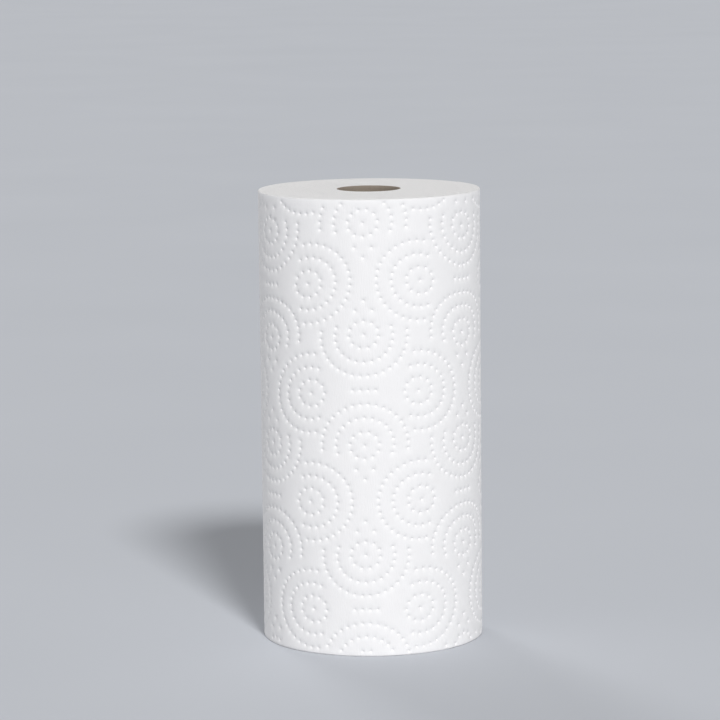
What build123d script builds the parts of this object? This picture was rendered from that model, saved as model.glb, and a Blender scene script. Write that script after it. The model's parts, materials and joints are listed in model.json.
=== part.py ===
from build123d import *
import os
from math import sqrt

# Paper towel roll: a long web of soft embossed towel, wound on a paperboard core and sawn to length.
#
# Frame: millimetres. +Z is up along the core's axis. The origin is on that axis, in the face that the
# roll stands on. -Y is the front. The web's free edge, the tail, lies at the back, to the right.

# ---- Driving dimensions ----
roll_height = 279.4  # width of the web, an 11 inch sheet
roll_diameter = 136.8  # over the outermost turn
turn_thickness = 0.5  # one turn of the embossed web, so the height of the step at the tail
tail_angle = 35.0  # where the tail lies, in degrees from +X towards +Y
core_bore = 38.0  # clear hole, for the post or the arms of a holder
core_wall = 0.8  # wound paperboard

# ---- Worked out ----
core_radius = core_bore / 2 + core_wall  # where the innermost turn is glued to the core
quarter_drop = turn_thickness / 4  # how much nearer the axis the web gets in a quarter turn
tail_radius = (roll_diameter + turn_thickness) / 2  # from the axis to the outside of the tail
first_arc_radius = tail_radius - quarter_drop / 2
arc_centre_radius = quarter_drop / sqrt(2)  # the arcs' centres are corners of a small square

# ---- Wound web ----
# All the turns are one solid. Its outline is one turn of a spiral, drawn as four quarter arcs that run
# clockwise from the tail. Each is quarter_drop smaller than the one before and centred on the next
# corner of a square of that side, so that they meet in line, and the last arc ends one turn's thickness
# inside the first. The short line between those two ends is the cut edge of the tail.
with BuildPart() as towel_roll:
    with BuildSketch():
        with BuildLine():
            quarter_arcs = []
            for quarter in range(4):
                arc_start_angle = tail_angle - 90 * quarter
                arc = CenterArc(
                    center=Vector(arc_centre_radius, 0).rotate(Axis.Z, arc_start_angle + 45),
                    radius=first_arc_radius - quarter * quarter_drop,
                    start_angle=arc_start_angle,
                    arc_size=-90,
                )
                quarter_arcs.append(arc)
            Line(quarter_arcs[-1] @ 1, quarter_arcs[0] @ 0)
        make_face()
        Circle(core_radius, mode=Mode.SUBTRACT)
    extrude(amount=roll_height)
towel_roll.part.label = "towel_roll"

# ---- Core ----
# A paperboard tube, sawn off flush with the web at both ends. The first turn is glued to it.
with BuildPart() as core_tube:
    with BuildSketch():
        Circle(core_radius)
        Circle(core_bore / 2, mode=Mode.SUBTRACT)
    extrude(amount=roll_height)
core_tube.part.label = "core_tube"

# ---- Export ----
os.makedirs("parts", exist_ok=True)
export_step(towel_roll.part, "parts/towel_roll.step")
export_step(core_tube.part, "parts/core_tube.step")
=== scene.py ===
import json
import math
import random

import bpy
from mathutils import Matrix, Vector, noise
from mathutils.geometry import delaunay_2d_cdt
from mathutils.kdtree import KDTree


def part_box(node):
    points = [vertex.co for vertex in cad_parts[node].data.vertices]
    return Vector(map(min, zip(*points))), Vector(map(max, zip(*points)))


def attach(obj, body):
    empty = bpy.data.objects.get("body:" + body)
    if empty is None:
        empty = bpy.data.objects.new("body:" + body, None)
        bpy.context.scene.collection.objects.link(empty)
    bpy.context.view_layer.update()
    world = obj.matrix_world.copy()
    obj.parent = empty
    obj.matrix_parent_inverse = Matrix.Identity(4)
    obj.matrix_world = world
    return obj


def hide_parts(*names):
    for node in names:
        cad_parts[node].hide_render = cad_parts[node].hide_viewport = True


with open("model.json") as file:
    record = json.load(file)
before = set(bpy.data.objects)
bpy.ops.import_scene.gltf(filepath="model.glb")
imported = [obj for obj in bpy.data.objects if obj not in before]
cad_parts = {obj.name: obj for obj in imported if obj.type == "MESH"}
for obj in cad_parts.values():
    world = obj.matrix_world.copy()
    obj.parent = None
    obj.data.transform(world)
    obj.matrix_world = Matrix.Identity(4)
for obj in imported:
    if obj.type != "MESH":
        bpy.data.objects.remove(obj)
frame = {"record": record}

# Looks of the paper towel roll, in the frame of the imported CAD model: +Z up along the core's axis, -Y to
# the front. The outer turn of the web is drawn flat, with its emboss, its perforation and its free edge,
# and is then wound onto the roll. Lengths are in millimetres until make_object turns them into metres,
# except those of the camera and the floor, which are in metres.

MM = 0.001
FULL_TURN = 2 * math.pi

# ---- Sizes of the CAD model ----
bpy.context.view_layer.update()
roll_low, roll_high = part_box("towel_roll")
core_low, core_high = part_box("core_tube")
bore_mount = next(m for m in frame["record"]["mounts"] if m["name"] == "core_bore")
ROLL_HEIGHT = (roll_high.z - roll_low.z) / MM
ROLL_RADIUS = ((roll_high.x - roll_low.x) + (roll_high.y - roll_low.y)) / 4 / MM
CORE_RADIUS = (core_high.x - core_low.x) / 2 / MM
BORE_RADIUS = bore_mount["dims"]["r_mm"]
TURN_THICKNESS = 0.5  # as in part.py, like the tail's angle
TAIL_ANGLE = math.radians(35)

# ---- The web ----
TURN_LENGTH = FULL_TURN * ROLL_RADIUS  # along the web, once round the roll
TAIL_TO_FRONT = (TAIL_ANGLE + math.pi / 2) * ROLL_RADIUS  # along the web, from the tail to the front
WAVE_HEIGHT = 0.10  # loose unevenness of the outer turn
WAVE_LENGTH = 38.0  # along the web
WAVE_RISE = 55.0  # up the roll
TAIL_LIFT = 0.5  # how far the free edge stands off the roll
TAIL_LIFT_LENGTH = 7.0
TAIL_LIFT_CHANGE = 45.0  # height in which the lift changes
SHEET_LENGTH = 279.4  # between two perforations
PERFORATION_WIDTH = 0.5
PERFORATION_DEPTH = 0.22
PERFORATION_PITCH = 5.2
CUT_SHARE = 0.8  # of the perforation's pitch, with the rest as a bond
BOND_DEPTH_SHARE = 0.25

# ---- The emboss ----
# Motifs of three dotted rings stand in columns. The inner ring is whole, and the outer two are open arcs.
COLUMN_PITCH = 34.8
MOTIF_PITCH = 67.5
MOTIF_ROWS = range(-3, 5)
FIRST_COLUMN = -4.0  # to the right of the front
EVEN_COLUMN_Z = 130.4
ODD_COLUMN_Z = 162.8
MOUTH_SPREAD = 1.5  # how much further apart two motifs are where their open sides meet
EMBOSS_SKEW = 0.02  # rise of the pattern for each millimetre to the right
EMBOSS_SQUEEZE = 0.035  # how much closer together the pattern's rows are away from the front
SQUEEZE_Z = 80.0  # height that the squeeze leaves in place
SQUEEZE_REACH = 64.0  # distance from the front where the squeeze is full
CENTRE_PUSH = -0.8  # of the centre dot and the inner ring, towards the arcs' middle
RINGS = (  # half width, half height, dots, degrees of arc, push
    (9.1, 8.25, 11, 360, CENTRE_PUSH),
    (17.8, 16.1, 15, 220, 0.0),
    (26.9, 24.4, 20, 195, 0.0),
)
MOUTH_DOTS = ((-5.2, 15.5), (5.2, 15.5), (0.0, 21.5))  # sideways and out from the motif's centre
ROW_DOTS = (-7.0, -2.35, 2.35, 7.0)  # sideways, between two motifs that stand back to back
DOT_RADIUS = 1.4
DOT_DEPTH = 0.8
QUILT_DEPTH = 0.13  # how far the dots pull the towel around them in, into a soft channel
QUILT_RADIUS = 2.4
QUILT_LIMIT = 1.3  # of the pull where several dots are near

# ---- The sawn ends ----
RIM = 0.8  # softened corner at the sawn ends
END_RELIEF = 0.35  # unevenness of the sawn turns
END_FADE = 4.0  # width beside the core where the end grows even
BAND_WIDTH = 2.0
BAND_WANDER = 1.5
BAND_WANDER_CHANGE = 30.0  # radius in which the wander changes
SLOW_WIDTH = 25.0

# ---- How finely the towel is drawn ----
RIM_STEPS = 3
ROUND_STEPS = 216  # points once round the rims
HEIGHT_STEPS = 150  # points up the tail's edge
END_RINGS = 30
END_OUTER_RADIUS = ROLL_RADIUS - 2.6  # from here inwards the end's rings are true circles
DOT_CIRCLES = (  # radius, points and turn in steps of the circles that shape a dot
    (0.5, 6, 0.0),
    (0.9, 8, 0.5),
    (DOT_RADIUS, 10, 0.0),
)
PERFORATION_COLUMNS = (-1.1, -0.5, 0.0, 0.5, 1.1)
PERFORATION_STEP = 1.0
PLAIN_SPACING = 2.5  # between the points of plain towel
PLAIN_CLEARANCE = 0.55 * PLAIN_SPACING  # from the points of the emboss
PLAIN_JITTER = 0.3
BORDER_CLEARANCE = 0.6  # between the web's border and its inner points
SAME_POINT = 1e-5
SHARP_EDGE = math.radians(50)
SEED = 11
SURFACE_SLOT = 0
END_SLOT = 1

# ---- The core ----
CORE_ROUND_STEPS = 120
CORE_HEIGHT_STEPS = 160
CORE_RIM = 0.2
SEAM_PITCH = 95.0  # rise of the spiral seam in one turn
SEAM_DEPTH = 0.15
SEAM_WIDTH = 1.6

# ---- Camera and light ----
CAMERA_DISTANCE = 2.069
CAMERA_HEIGHT = 0.4802
CAMERA_PITCH = 8.46  # degrees down
CAMERA_YAW = 0.179  # degrees to the left
CAMERA_ROLL = -0.616
CAMERA_LENS = 168.3
CAMERA_REACH = 200
HORIZON_LIGHT = 0.53
ZENITH_LIGHT = 0.21
FLOOR_REACH = 60.0


def polar(radius, angle, z):
    return Vector((radius * math.cos(angle), radius * math.sin(angle), z))


def smooth_step(x):
    x = min(max(x, 0.0), 1.0)
    return x * x * (3 - 2 * x)


def tree_of(points):
    """A KD tree of flat points."""
    tree = KDTree(len(points))
    for i, point in enumerate(points):
        tree.insert((point[0], point[1], 0), i)
    tree.balance()
    return tree


class Shape:
    """The points and faces of a piece, and the material slot of each face."""

    def __init__(self):
        self.vertices = []
        self.faces = []
        self.face_slots = []

    def add_points(self, points):
        """Adds points and gives their numbers."""
        first = len(self.vertices)
        self.vertices += points
        return list(range(first, len(self.vertices)))

    def add_face(self, corners, forward=True, slot=SURFACE_SLOT):
        self.faces.append(tuple(corners) if forward else tuple(reversed(corners)))
        self.face_slots.append(slot)

    def add_strip(self, ring, next_ring, forward=True, slot=SURFACE_SLOT):
        """Adds the faces between two rings of as many points."""
        for i in range(len(ring) - 1):
            corners = (ring[i], ring[i + 1], next_ring[i + 1], next_ring[i])
            self.add_face(corners, forward, slot)


# ---- Emboss ----
def motif_dots(centre_x, centre_z, facing):
    """The dots of one motif. Its arcs' middle lies in the direction facing, in degrees from the right."""
    direction = Vector((math.cos(math.radians(facing)), math.sin(math.radians(facing))))
    centre = Vector((centre_x, centre_z))
    dots = [centre + direction * CENTRE_PUSH]
    for half_width, half_height, count, span, push in RINGS:
        gaps = count if span == 360 else count - 1
        for i in range(count):
            angle = math.radians(facing + span * (i / gaps - 0.5))
            dot = Vector((half_width * math.cos(angle), half_height * math.sin(angle)))
            dots.append(centre + direction * push + dot)
    return dots


def even_column_dots(x, row, up):
    """A motif with its arcs above its centre, where up is 1, or below it, and the loose dots beside it."""
    z = EVEN_COLUMN_Z + MOTIF_PITCH * row + up * MOUTH_SPREAD / 2
    dots = motif_dots(x, z, 90 * up)
    dots += [Vector((x + side, z - up * out)) for side, out in MOUTH_DOTS]
    if up == 1:
        row_z = z + (MOTIF_PITCH - MOUTH_SPREAD) / 2
        dots += [Vector((x + side, row_z)) for side in ROW_DOTS]
    return dots


def pattern_dots():
    """(distance to the right of the front, height) of the pattern's dots, before its skew and squeeze."""
    dots = []
    columns = math.ceil(TURN_LENGTH / COLUMN_PITCH)
    for column in range(-columns, columns + 1):
        x = FIRST_COLUMN + COLUMN_PITCH * column
        for row in MOTIF_ROWS:
            turned = (row + column // 2) % 2
            if column % 2:
                dots += motif_dots(x, ODD_COLUMN_Z + MOTIF_PITCH * row, 180 * turned)
            else:
                dots += even_column_dots(x, row, -1 if turned else 1)
    return dots


def emboss_dots():
    """(distance from the tail along the web, height) of every dot on the outer turn."""
    margin = RIM + DOT_RADIUS
    kept = []
    for dot in pattern_dots():
        squeeze = EMBOSS_SQUEEZE * min((dot.x / SQUEEZE_REACH) ** 2, 1)
        along = TAIL_TO_FRONT - dot.x
        z = dot.y + EMBOSS_SKEW * dot.x - squeeze * (dot.y - SQUEEZE_Z)
        if margin < along < TURN_LENGTH - margin and margin < z < ROLL_HEIGHT - margin:
            kept.append(Vector((along, z)))
    return kept


# ---- Relief of the outer turn ----
def tail_lift(along, z):
    """The free edge of the web stands off the roll a little, more in some places than in others."""
    looseness = 0.6 + 0.8 * noise.noise(Vector((z / TAIL_LIFT_CHANGE, 7.7, 0)))
    return TAIL_LIFT * max(looseness, 0) * math.exp(-((along / TAIL_LIFT_LENGTH) ** 2))


def perforation(along, z):
    """A row of short cuts across the web, one sheet from the tail, with a small bond after each."""
    across = abs(along - SHEET_LENGTH) / PERFORATION_WIDTH
    if across >= 1:
        return 0.0
    bonded = z % PERFORATION_PITCH > CUT_SHARE * PERFORATION_PITCH
    return -PERFORATION_DEPTH * (1 - across) * (BOND_DEPTH_SHARE if bonded else 1.0)


def web_height(along, z, dots):
    """How far the outer turn stands out from its spiral, at a point of the flat web."""
    distances = [found[2] for found in dots.find_range((along, z, 0), 3 * QUILT_RADIUS)]
    nearest = min(distances, default=DOT_RADIUS)
    pull = sum(math.exp(-((distance / QUILT_RADIUS) ** 2)) for distance in distances)
    dot = -DOT_DEPTH * (1 - smooth_step(nearest / DOT_RADIUS))
    quilt = -QUILT_DEPTH * min(pull, QUILT_LIMIT)
    wave = WAVE_HEIGHT * noise.noise(Vector((along / WAVE_LENGTH, z / WAVE_RISE, 3.1)))
    return dot + quilt + wave + tail_lift(along, z) + perforation(along, z)


def wound(along, z, height):
    """A point of the flat web in its place on the roll, a little nearer the axis as the web winds in."""
    turned = along / TURN_LENGTH
    radius = ROLL_RADIUS + TURN_THICKNESS * (0.5 - turned) + height
    return polar(radius, TAIL_ANGLE - FULL_TURN * turned, z)


def end_dip(radius, angle):
    """How far the sawn end lies inside its plane: uneven turns, in bands that wander a little."""
    wander = BAND_WANDER * noise.noise(polar(2, angle, radius / BAND_WANDER_CHANGE))
    band = noise.noise(Vector(((radius + wander) / BAND_WIDTH, 0.3, 0.7)))
    slow = noise.noise(polar(radius / SLOW_WIDTH, angle, 5))
    fade = smooth_step((radius - CORE_RADIUS) / END_FADE)
    return END_RELIEF * fade * (0.5 + 0.45 * band + 0.3 * slow)


# ---- Mesh of the towel ----
def border_points(bottom, top):
    """Points of the web's border: its lower rim, its upper rim, its tail edge and the edge one turn in."""
    along_steps = [TURN_LENGTH * i / ROUND_STEPS for i in range(ROUND_STEPS + 1)]
    up_steps = [bottom + (top - bottom) * k / HEIGHT_STEPS for k in range(1, HEIGHT_STEPS)]
    points = [(along, z) for z in (bottom, top) for along in along_steps]
    return points + [(along, z) for along in (0.0, TURN_LENGTH) for z in up_steps]


def detail_points(dots, bottom, top):
    """Points that shape the dots and the perforation."""
    points = []
    for dot in dots:
        points.append((dot.x, dot.y))
        for radius, count, turn in DOT_CIRCLES:
            for i in range(count):
                place = polar(radius, FULL_TURN * (i + turn) / count, 0)
                points.append((dot.x + place.x, dot.y + place.y))
    for k in range(int((top - bottom) / PERFORATION_STEP)):
        for offset in PERFORATION_COLUMNS:
            points.append((SHEET_LENGTH + offset, bottom + (k + 0.5) * PERFORATION_STEP))
    return points


def plain_points(details, bottom, top):
    """Slightly uneven lattice points, wherever no other points are near."""
    taken = tree_of(details)
    rng = random.Random(SEED)
    row_height = PLAIN_SPACING * math.sqrt(3) / 2
    points = []
    for row in range(1, int((top - bottom) / row_height)):
        for i in range(int(TURN_LENGTH / PLAIN_SPACING)):
            along = (i + (row % 2) / 2 + 0.25) * PLAIN_SPACING + rng.uniform(-PLAIN_JITTER, PLAIN_JITTER)
            z = bottom + row * row_height + rng.uniform(-PLAIN_JITTER, PLAIN_JITTER)
            if taken.find((along, z, 0))[2] > PLAIN_CLEARANCE:
                points.append((along, z))
    return points


def flat_web(dots):
    """The flat web's points, its triangles, and the number that each border point has among its points."""
    bottom, top = RIM, ROLL_HEIGHT - RIM
    details = detail_points(dots, bottom, top)
    inner = [
        (along, z)
        for along, z in details + plain_points(details, bottom, top)
        if BORDER_CLEARANCE < along < TURN_LENGTH - BORDER_CLEARANCE
        and bottom + BORDER_CLEARANCE < z < top - BORDER_CLEARANCE
    ]
    asked = [Vector(point) for point in border_points(bottom, top) + inner]
    flat, _, triangles, sources, _, _ = delaunay_2d_cdt(asked, [], [], 0, SAME_POINT, True)
    number = {source: i for i, merged in enumerate(sources) for source in merged}
    return flat, triangles, number


def add_tail_step(towel, rims, number):
    """Adds the narrow face at the web's free edge, down to the turn below."""
    first = 2 * (ROUND_STEPS + 1)
    edges = []
    for edge in (0, 1):
        start = first + edge * (HEIGHT_STEPS - 1)
        middle = [number[start + k] for k in range(HEIGHT_STEPS - 1)]
        corner = edge * ROUND_STEPS
        edges.append([rims[0][corner], *middle, rims[1][corner]])
    towel.add_strip(edges[0], edges[1], forward=False)


def add_rim(towel, rim, heights, top):
    """Adds a softened corner from the outer turn to a sawn end, and gives its last ring of points."""
    sign = 1 if top else -1
    start_z = ROLL_HEIGHT - RIM if top else RIM
    ring = rim
    for step in range(1, RIM_STEPS + 1):
        bend = math.pi / 2 * step / RIM_STEPS
        z = start_z + sign * RIM * math.sin(bend)
        points = []
        for i in range(ROUND_STEPS + 1):
            height = heights[rim[i]] - RIM * (1 - math.cos(bend))
            point = wound(TURN_LENGTH * i / ROUND_STEPS, z, height)
            if step == RIM_STEPS:
                point.z -= sign * end_dip(point.xy.length, math.atan2(point.y, point.x))
            points.append(point)
        next_ring = towel.add_points(points)
        towel.add_strip(ring, next_ring, not top, END_SLOT)
        towel.add_face((ring[0], next_ring[0], next_ring[-1], ring[-1]), not top, END_SLOT)
        ring = next_ring
    return ring


def add_sawn_end(towel, ring, top):
    """Adds the uneven end inside the rim's last ring, and gives the ring of points at the core."""
    sign = 1 if top else -1
    plane_z = ROLL_HEIGHT if top else 0.0
    for k in range(END_RINGS + 1):
        radius = END_OUTER_RADIUS + (CORE_RADIUS - END_OUTER_RADIUS) * k / END_RINGS
        angles = [TAIL_ANGLE - FULL_TURN * i / ROUND_STEPS for i in range(ROUND_STEPS)]
        points = [polar(radius, angle, plane_z - sign * end_dip(radius, angle)) for angle in angles]
        next_ring = towel.add_points(points)
        next_ring.append(next_ring[0])
        towel.add_strip(ring, next_ring, not top, END_SLOT)
        if k == 0:
            towel.add_face((ring[0], next_ring[0], ring[-1]), not top, END_SLOT)
        ring = next_ring
    return ring


def towel_shape():
    """The wound web: its outer turn, the step at its free edge, its sawn ends and the hole for the core."""
    dots = emboss_dots()
    dot_tree = tree_of(dots)
    flat, triangles, number = flat_web(dots)
    heights = [web_height(p.x, p.y, dot_tree) for p in flat]
    towel = Shape()
    towel.add_points([wound(p.x, p.y, height) for p, height in zip(flat, heights)])
    for triangle in triangles:
        towel.add_face(triangle, forward=False)  # winding the flat web onto the roll mirrors it
    rims = [[number[first + i] for i in range(ROUND_STEPS + 1)] for first in (0, ROUND_STEPS + 1)]
    add_tail_step(towel, rims, number)
    holes = []
    for rim, top in zip(rims, (False, True)):
        holes.append(add_sawn_end(towel, add_rim(towel, rim, heights, top), top))
    towel.add_strip(holes[1], holes[0], forward=False)
    return towel


# ---- Mesh of the core ----
def seam_dip(angle, z):
    """Depth of the spiral seam of the core's inner ply."""
    turns = (z / SEAM_PITCH - angle / FULL_TURN) % 1
    distance = min(turns, 1 - turns) * SEAM_PITCH
    return SEAM_DEPTH * (1 - smooth_step(distance / SEAM_WIDTH))


def core_shape():
    """A wound paperboard tube with a spiral seam inside and slightly blunted sawn edges."""
    bottom, top = CORE_RIM, ROLL_HEIGHT - CORE_RIM
    bore_steps = [bottom + (top - bottom) * k / CORE_HEIGHT_STEPS for k in range(CORE_HEIGHT_STEPS + 1)]
    section = [(BORE_RADIUS, z, True) for z in bore_steps]  # radius, height, carries the seam
    section += [
        (BORE_RADIUS + CORE_RIM, ROLL_HEIGHT, False),
        (CORE_RADIUS - CORE_RIM, ROLL_HEIGHT, False),
        (CORE_RADIUS, top, False),
        (CORE_RADIUS, bottom, False),
        (CORE_RADIUS - CORE_RIM, 0.0, False),
        (BORE_RADIUS + CORE_RIM, 0.0, False),
    ]
    core = Shape()
    rings = []
    for radius, z, seamed in section:
        points = []
        for i in range(CORE_ROUND_STEPS):
            angle = FULL_TURN * i / CORE_ROUND_STEPS
            points.append(polar(radius + (seam_dip(angle, z) if seamed else 0.0), angle, z))
        ring = core.add_points(points)
        rings.append([*ring, ring[0]])
    for ring, next_ring in zip(rings, rings[1:] + rings[:1]):
        core.add_strip(ring, next_ring, forward=False)
    return core


# ---- Materials ----
def new_material(name):
    """A material with a Principled shader, and that shader."""
    material = bpy.data.materials.new(name)
    material.use_nodes = True
    return material, material.node_tree.nodes["Principled BSDF"]


def add(tree, kind, inputs=None, **settings):
    """Adds a node. Each input is linked if it is given as another node's output, and set otherwise."""
    made = tree.nodes.new(kind)
    for name, value in settings.items():
        setattr(made, name, value)
    for name, value in (inputs or {}).items():
        if isinstance(value, bpy.types.NodeSocket):
            tree.links.new(value, made.inputs[name])
        else:
            made.inputs[name].default_value = value
    return made


def calculate(tree, operation, *values):
    """The output of a Math node."""
    return add(tree, "ShaderNodeMath", dict(enumerate(values)), operation=operation).outputs[0]


def weighted_sum(tree, *parts):
    """The sum of patterns, each given with its weight."""
    total = None
    for pattern, weight in parts:
        scaled = calculate(tree, "MULTIPLY", pattern, weight)
        total = scaled if total is None else calculate(tree, "ADD", total, scaled)
    return total


def object_position(tree, scale=(1, 1, 1)):
    """Position on the piece, in metres, times scale, which draws a pattern out where it is small."""
    place = add(tree, "ShaderNodeTexCoord").outputs["Object"]
    return add(tree, "ShaderNodeMapping", {"Vector": place, "Scale": scale}).outputs["Vector"]


def noise_of(tree, place, scale, detail=2.0, roughness=0.5):
    """A noise pattern with scale cells to the metre."""
    inputs = {"Vector": place, "Scale": scale, "Detail": detail, "Roughness": roughness}
    return add(tree, "ShaderNodeTexNoise", inputs).outputs["Fac"]


def blend_colours(tree, factor, low, high):
    """low where factor is 0 and high where it is 1."""
    ramp = add(tree, "ShaderNodeValToRGB", {"Fac": factor})
    ramp.color_ramp.elements[0].color = (*low, 1)
    ramp.color_ramp.elements[1].color = (*high, 1)
    return ramp.outputs["Color"]


def bump(tree, height, distance, normal=None):
    """A normal tilted by a height pattern, on top of another bump's normal if one is given."""
    inputs = {"Height": height, "Distance": distance, "Strength": 1.0}
    if normal is not None:
        inputs["Normal"] = normal
    return add(tree, "ShaderNodeBump", inputs).outputs["Normal"]


def towel_material():
    """Soft white two-ply towel: creped across the web, cloudy with fibre, and matte."""
    material, shader = new_material("towel_surface")
    tree = material.node_tree
    cloud = noise_of(tree, object_position(tree), 110, detail=3, roughness=0.6)
    colour = blend_colours(tree, cloud, (0.885, 0.877, 0.880), (0.925, 0.917, 0.920))
    tree.links.new(colour, shader.inputs["Base Color"])
    crepe = noise_of(tree, object_position(tree, (1, 1, 0.16)), 1500, detail=2, roughness=0.6)
    fibre = noise_of(tree, object_position(tree), 3200, detail=2, roughness=0.7)
    relief = bump(tree, fibre, 0.05 * MM, bump(tree, crepe, 0.14 * MM))
    tree.links.new(relief, shader.inputs["Normal"])
    shader.inputs["Roughness"].default_value = 0.95
    shader.inputs["Specular IOR Level"].default_value = 0.15
    shader.inputs["Sheen Weight"].default_value = 0.05
    shader.inputs["Sheen Roughness"].default_value = 0.6
    return material


def towel_end_material():
    """The sawn end of the roll: the edges of its turns, each a hair above or below the next. Its colour
    holds painted shade in the grooves between the turns, and is also darker where the bands and fibres of
    its relief lie lower.
    """
    material, shader = new_material("towel_end")
    tree = material.node_tree
    place = object_position(tree)
    parts = add(tree, "ShaderNodeSeparateXYZ", {"Vector": place}).outputs
    x_squared = calculate(tree, "MULTIPLY", parts["X"], parts["X"])
    y_squared = calculate(tree, "MULTIPLY", parts["Y"], parts["Y"])
    radius = calculate(tree, "SQRT", calculate(tree, "ADD", x_squared, y_squared))
    angle = calculate(tree, "ARCTAN2", parts["Y"], parts["X"])
    wander = calculate(tree, "MULTIPLY", noise_of(tree, place, 130, detail=3), 1.2 * MM)
    wound_radius = calculate(tree, "ADD", radius, wander)
    turns_out = calculate(tree, "DIVIDE", wound_radius, TURN_THICKNESS * MM)
    turns_round = calculate(tree, "DIVIDE", angle, FULL_TURN)
    turns = calculate(tree, "SUBTRACT", turns_out, turns_round)
    ridge = calculate(tree, "MULTIPLY", calculate(tree, "PINGPONG", turns, 0.5), 2.0)
    band_place = add(tree, "ShaderNodeCombineXYZ", {"X": wound_radius}).outputs["Vector"]
    band = noise_of(tree, band_place, 700, detail=2, roughness=0.6)
    fibre = noise_of(tree, place, 2600, detail=2, roughness=0.7)
    # Painted shade: darker in the grooves between the turns, where ridge is low, and darker where band and
    # fibre, which raise the relief, are low.
    groove_shade_and_tone = weighted_sum(tree, (ridge, 0.45), (band, 0.4), (fibre, 0.15))
    colour = blend_colours(tree, groove_shade_and_tone, (0.80, 0.79, 0.79), (0.95, 0.945, 0.945))
    tree.links.new(colour, shader.inputs["Base Color"])
    relief = bump(tree, ridge, 0.12 * MM, bump(tree, fibre, 0.08 * MM, bump(tree, band, 0.3 * MM)))
    tree.links.new(relief, shader.inputs["Normal"])
    shader.inputs["Roughness"].default_value = 0.98
    shader.inputs["Specular IOR Level"].default_value = 0.1
    return material


def core_material():
    """Grey-brown recycled paperboard, with flecks drawn out along the core."""
    material, shader = new_material("core_paperboard")
    tree = material.node_tree
    cloud = noise_of(tree, object_position(tree), 260, detail=5, roughness=0.65)
    fleck = noise_of(tree, object_position(tree, (1, 1, 0.35)), 1700, detail=3, roughness=0.7)
    mixed = weighted_sum(tree, (cloud, 0.6), (fleck, 0.4))
    colour = blend_colours(tree, mixed, (0.21, 0.175, 0.14), (0.37, 0.32, 0.27))
    tree.links.new(colour, shader.inputs["Base Color"])
    tree.links.new(bump(tree, fleck, 0.06 * MM), shader.inputs["Normal"])
    shader.inputs["Roughness"].default_value = 0.9
    shader.inputs["Specular IOR Level"].default_value = 0.2
    return material


def floor_material():
    """A plain pale floor."""
    material, shader = new_material("floor")
    tree = material.node_tree
    cloud = noise_of(tree, object_position(tree), 3.0, detail=2)
    colour = blend_colours(tree, cloud, (0.55, 0.57, 0.61), (0.58, 0.60, 0.64))
    tree.links.new(colour, shader.inputs["Base Color"])
    shader.inputs["Roughness"].default_value = 1.0
    shader.inputs["Specular IOR Level"].default_value = 0.0
    return material


# ---- Objects, camera, light and floor ----
def link_object(name, data):
    """A new object in the scene."""
    made = bpy.data.objects.new(name, data)
    bpy.context.scene.collection.objects.link(made)
    return made


def make_object(name, shape, materials):
    """A smooth-shaded mesh object in metres."""
    mesh = bpy.data.meshes.new(name)
    mesh.from_pydata([vertex * MM for vertex in shape.vertices], [], shape.faces)
    for material in materials:
        mesh.materials.append(material)
    mesh.polygons.foreach_set("material_index", shape.face_slots)
    mesh.shade_smooth()
    mesh.set_sharp_from_angle(angle=SHARP_EDGE)
    mesh.update()
    return link_object(name, mesh)


def make_camera():
    data = bpy.data.cameras.new("camera")
    data.sensor_width = 36
    data.lens = CAMERA_LENS
    data.clip_end = CAMERA_REACH
    camera = link_object("camera", data)
    camera.matrix_world = (
        Matrix.Translation((0, -CAMERA_DISTANCE, CAMERA_HEIGHT))
        @ Matrix.Rotation(math.radians(CAMERA_YAW), 4, "Z")
        @ Matrix.Rotation(math.radians(90 - CAMERA_PITCH), 4, "X")
        @ Matrix.Rotation(math.radians(CAMERA_ROLL), 4, "Z")
    )
    bpy.context.scene.camera = camera


def make_sun(name, azimuth, elevation, level, softness):
    """A soft lamp, azimuth degrees to the right of the front. Level 1 shows white that faces it as 1."""
    data = bpy.data.lights.new(name, "SUN")
    data.energy = level * math.pi
    data.angle = math.radians(softness)
    az, el = math.radians(azimuth), math.radians(elevation)
    towards = Vector((math.sin(az) * math.cos(el), -math.cos(az) * math.cos(el), math.sin(el)))
    link_object(name, data).rotation_euler = towards.to_track_quat("Z", "Y").to_euler()


def make_world():
    """A light tent: bright walls all round and a dim roof, so that the sides are lit more than the top."""
    world = bpy.data.worlds.new("world")
    bpy.context.scene.world = world
    world.use_nodes = True
    tree = world.node_tree
    direction = add(tree, "ShaderNodeTexCoord").outputs["Generated"]
    up = add(tree, "ShaderNodeSeparateXYZ", {"Vector": direction}).outputs["Z"]
    low = calculate(tree, "SUBTRACT", 1.0, calculate(tree, "ABSOLUTE", up))
    walls = calculate(tree, "MULTIPLY", calculate(tree, "POWER", low, 2.0), HORIZON_LIGHT)
    level = calculate(tree, "ADD", ZENITH_LIGHT, walls)
    background = tree.nodes["Background"]
    background.inputs["Color"].default_value = (1, 1, 1, 1)
    tree.links.new(level, background.inputs["Strength"])


def make_floor():
    mesh = bpy.data.meshes.new("floor")
    corners = [(x * FLOOR_REACH, y * FLOOR_REACH, 0) for x, y in ((-1, -1), (1, -1), (1, 1), (-1, 1))]
    mesh.from_pydata(corners, [], [(0, 1, 2, 3)])
    mesh.materials.append(floor_material())
    link_object("floor", mesh)


make_camera()
towel = make_object("towel_roll_visual", towel_shape(), [towel_material(), towel_end_material()])
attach(towel, "root")
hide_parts("towel_roll")

core = make_object("core_tube_visual", core_shape(), [core_material()])
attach(core, "root")
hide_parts("core_tube")

make_world()
make_sun("key_light", azimuth=15, elevation=40, level=0.69, softness=11)
make_sun("fill_light", azimuth=-50, elevation=15, level=0.06, softness=60)
make_sun("back_light", azimuth=-158, elevation=30, level=0.22, softness=16)
make_floor()
bpy.context.scene.view_settings.view_transform = "Standard"
